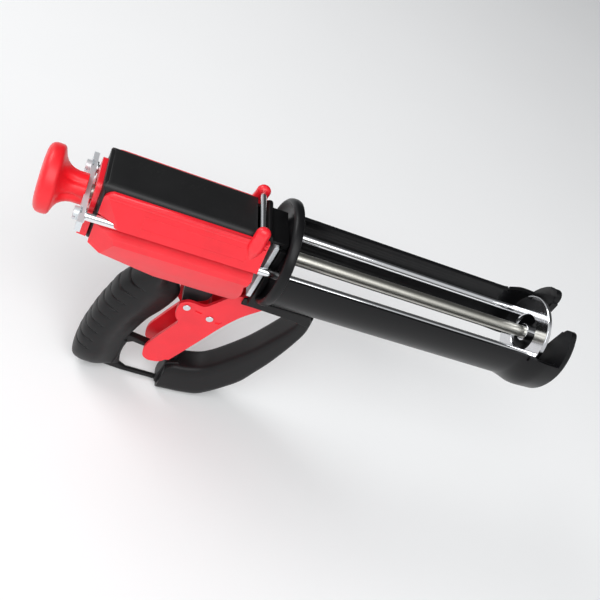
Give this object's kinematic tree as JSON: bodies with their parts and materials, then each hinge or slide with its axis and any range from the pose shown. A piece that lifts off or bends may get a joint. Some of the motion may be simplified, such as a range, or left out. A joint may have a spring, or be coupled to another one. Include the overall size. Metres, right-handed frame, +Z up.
{
  "type": "caulking gun",
  "caption": "Manual caulking gun for coaxial cartridges: open cradle of two half shells, three coupled push rods, trigger drive and closed D handle.",
  "frame": {"origin": "on the cartridge axis, in the front face of the rear flange that the cartridge rests on", "axes": "+X along the barrel to the nozzle, +Z up with the handle hanging below, +Y to the left of the user"},
  "size_m": [0.385, 0.081, 0.206],
  "materials": {
    "black_shell": "fine-textured black moulded plastic with a satin sheen",
    "black_frame": "black glass-filled plastic",
    "black_grip": "black satin plastic, slightly soft",
    "black_cover": "finely grained black plastic",
    "red_cover": "bright red semi-gloss plastic",
    "red_knob": "bright red moulded plastic, slightly worn",
    "red_trigger": "bright red moulded plastic",
    "bright_steel": "polished steel",
    "zinc_steel": "pressed steel, bright zinc plated",
    "ground_steel": "ground steel rod with an oil film",
    "chromed_rod": "hard chrome",
    "chromed_piston": "polished chrome, turned on a lathe",
    "hard_steel": "hardened plate, dark from oil",
    "spring_steel": "drawn spring wire",
    "dark_link": "black phosphated steel",
    "bronze": "sintered bronze"
  },
  "bodies": {
    "frame": {"cradle_right": "black_shell", "cradle_left": "black_shell", "cradle_flange": "black_shell", "front_frame": "black_frame", "d_handle": "black_grip", "chassis": "black_frame", "top_cover": "black_cover", "right_cover": "red_cover", "left_cover": "red_cover", "rear_plate": "red_cover", "cross_pin": "bright_steel", "trigger_pin": "bright_steel", "lever_pin": "bright_steel", "rear_bush": "bronze", "front_bush": "bronze", "cover_screws": "zinc_steel", "handle_screws": "zinc_steel", "return_spring": "spring_steel", "brake_spring": "spring_steel"},
    "push_rods": {"central_rod": "ground_steel", "right_rod": "chromed_rod", "left_rod": "chromed_rod", "cross_bar": "zinc_steel", "pull_knob": "red_knob", "rod_screws": "zinc_steel", "rod_clips": "bright_steel", "outer_piston": "chromed_piston", "inner_piston": "chromed_piston", "piston_nut": "zinc_steel"},
    "drive_plates": {"drive_plates": "hard_steel"},
    "brake_plate": {"brake_plate": "zinc_steel"},
    "trigger": {"trigger": "red_trigger", "link_pins": "bright_steel"},
    "drive_link": {"drive_link": "dark_link"},
    "drive_lever": {"drive_lever": "dark_link", "crank_pin": "bright_steel"}
  },
  "joints": [
    {"name": "rods_slide", "type": "slide", "parent": "frame", "child": "push_rods", "axis": [1, 0, 0], "range_m": [-0.196, 0]},
    {"name": "trigger_pull", "type": "hinge", "parent": "frame", "child": "trigger", "pos_m": [-0.001, 0, -0.043], "axis": [0, 1, 0], "range_deg": [0, 14], "stiffness_Nm_per_rad": 0.8, "springref_deg": -17.19},
    {"name": "lever_turn", "type": "hinge", "parent": "frame", "child": "drive_lever", "pos_m": [-0.024, 0, -0.03], "axis": [0, 1, 0], "range_deg": [0, 24.2]},
    {"name": "link_turn", "type": "hinge", "parent": "trigger", "child": "drive_link", "pos_m": [-0.044, 0, -0.066], "axis": [0, 1, 0], "range_deg": [-4.9, 0]},
    {"name": "plates_slide", "type": "slide", "parent": "frame", "child": "drive_plates", "axis": [1, 0, 0], "range_m": [0, 0.0107], "deforming": ["return_spring"]},
    {"name": "brake_tip", "type": "hinge", "parent": "frame", "child": "brake_plate", "pos_m": [-0.012, 0, 0.018], "axis": [0, 1, 0], "range_deg": [0, 4], "stiffness_Nm_per_rad": 0.6, "springref_deg": -5.73, "deforming": ["brake_spring"]}
  ],
  "couplings": [
    {"joint": "lever_turn", "follows": "trigger_pull", "ratio": 1.7143},
    {"joint": "link_turn", "follows": "trigger_pull", "ratio": -0.343},
    {"joint": "plates_slide", "follows": "trigger_pull", "m_per_rad": 0.0434}
  ]
}
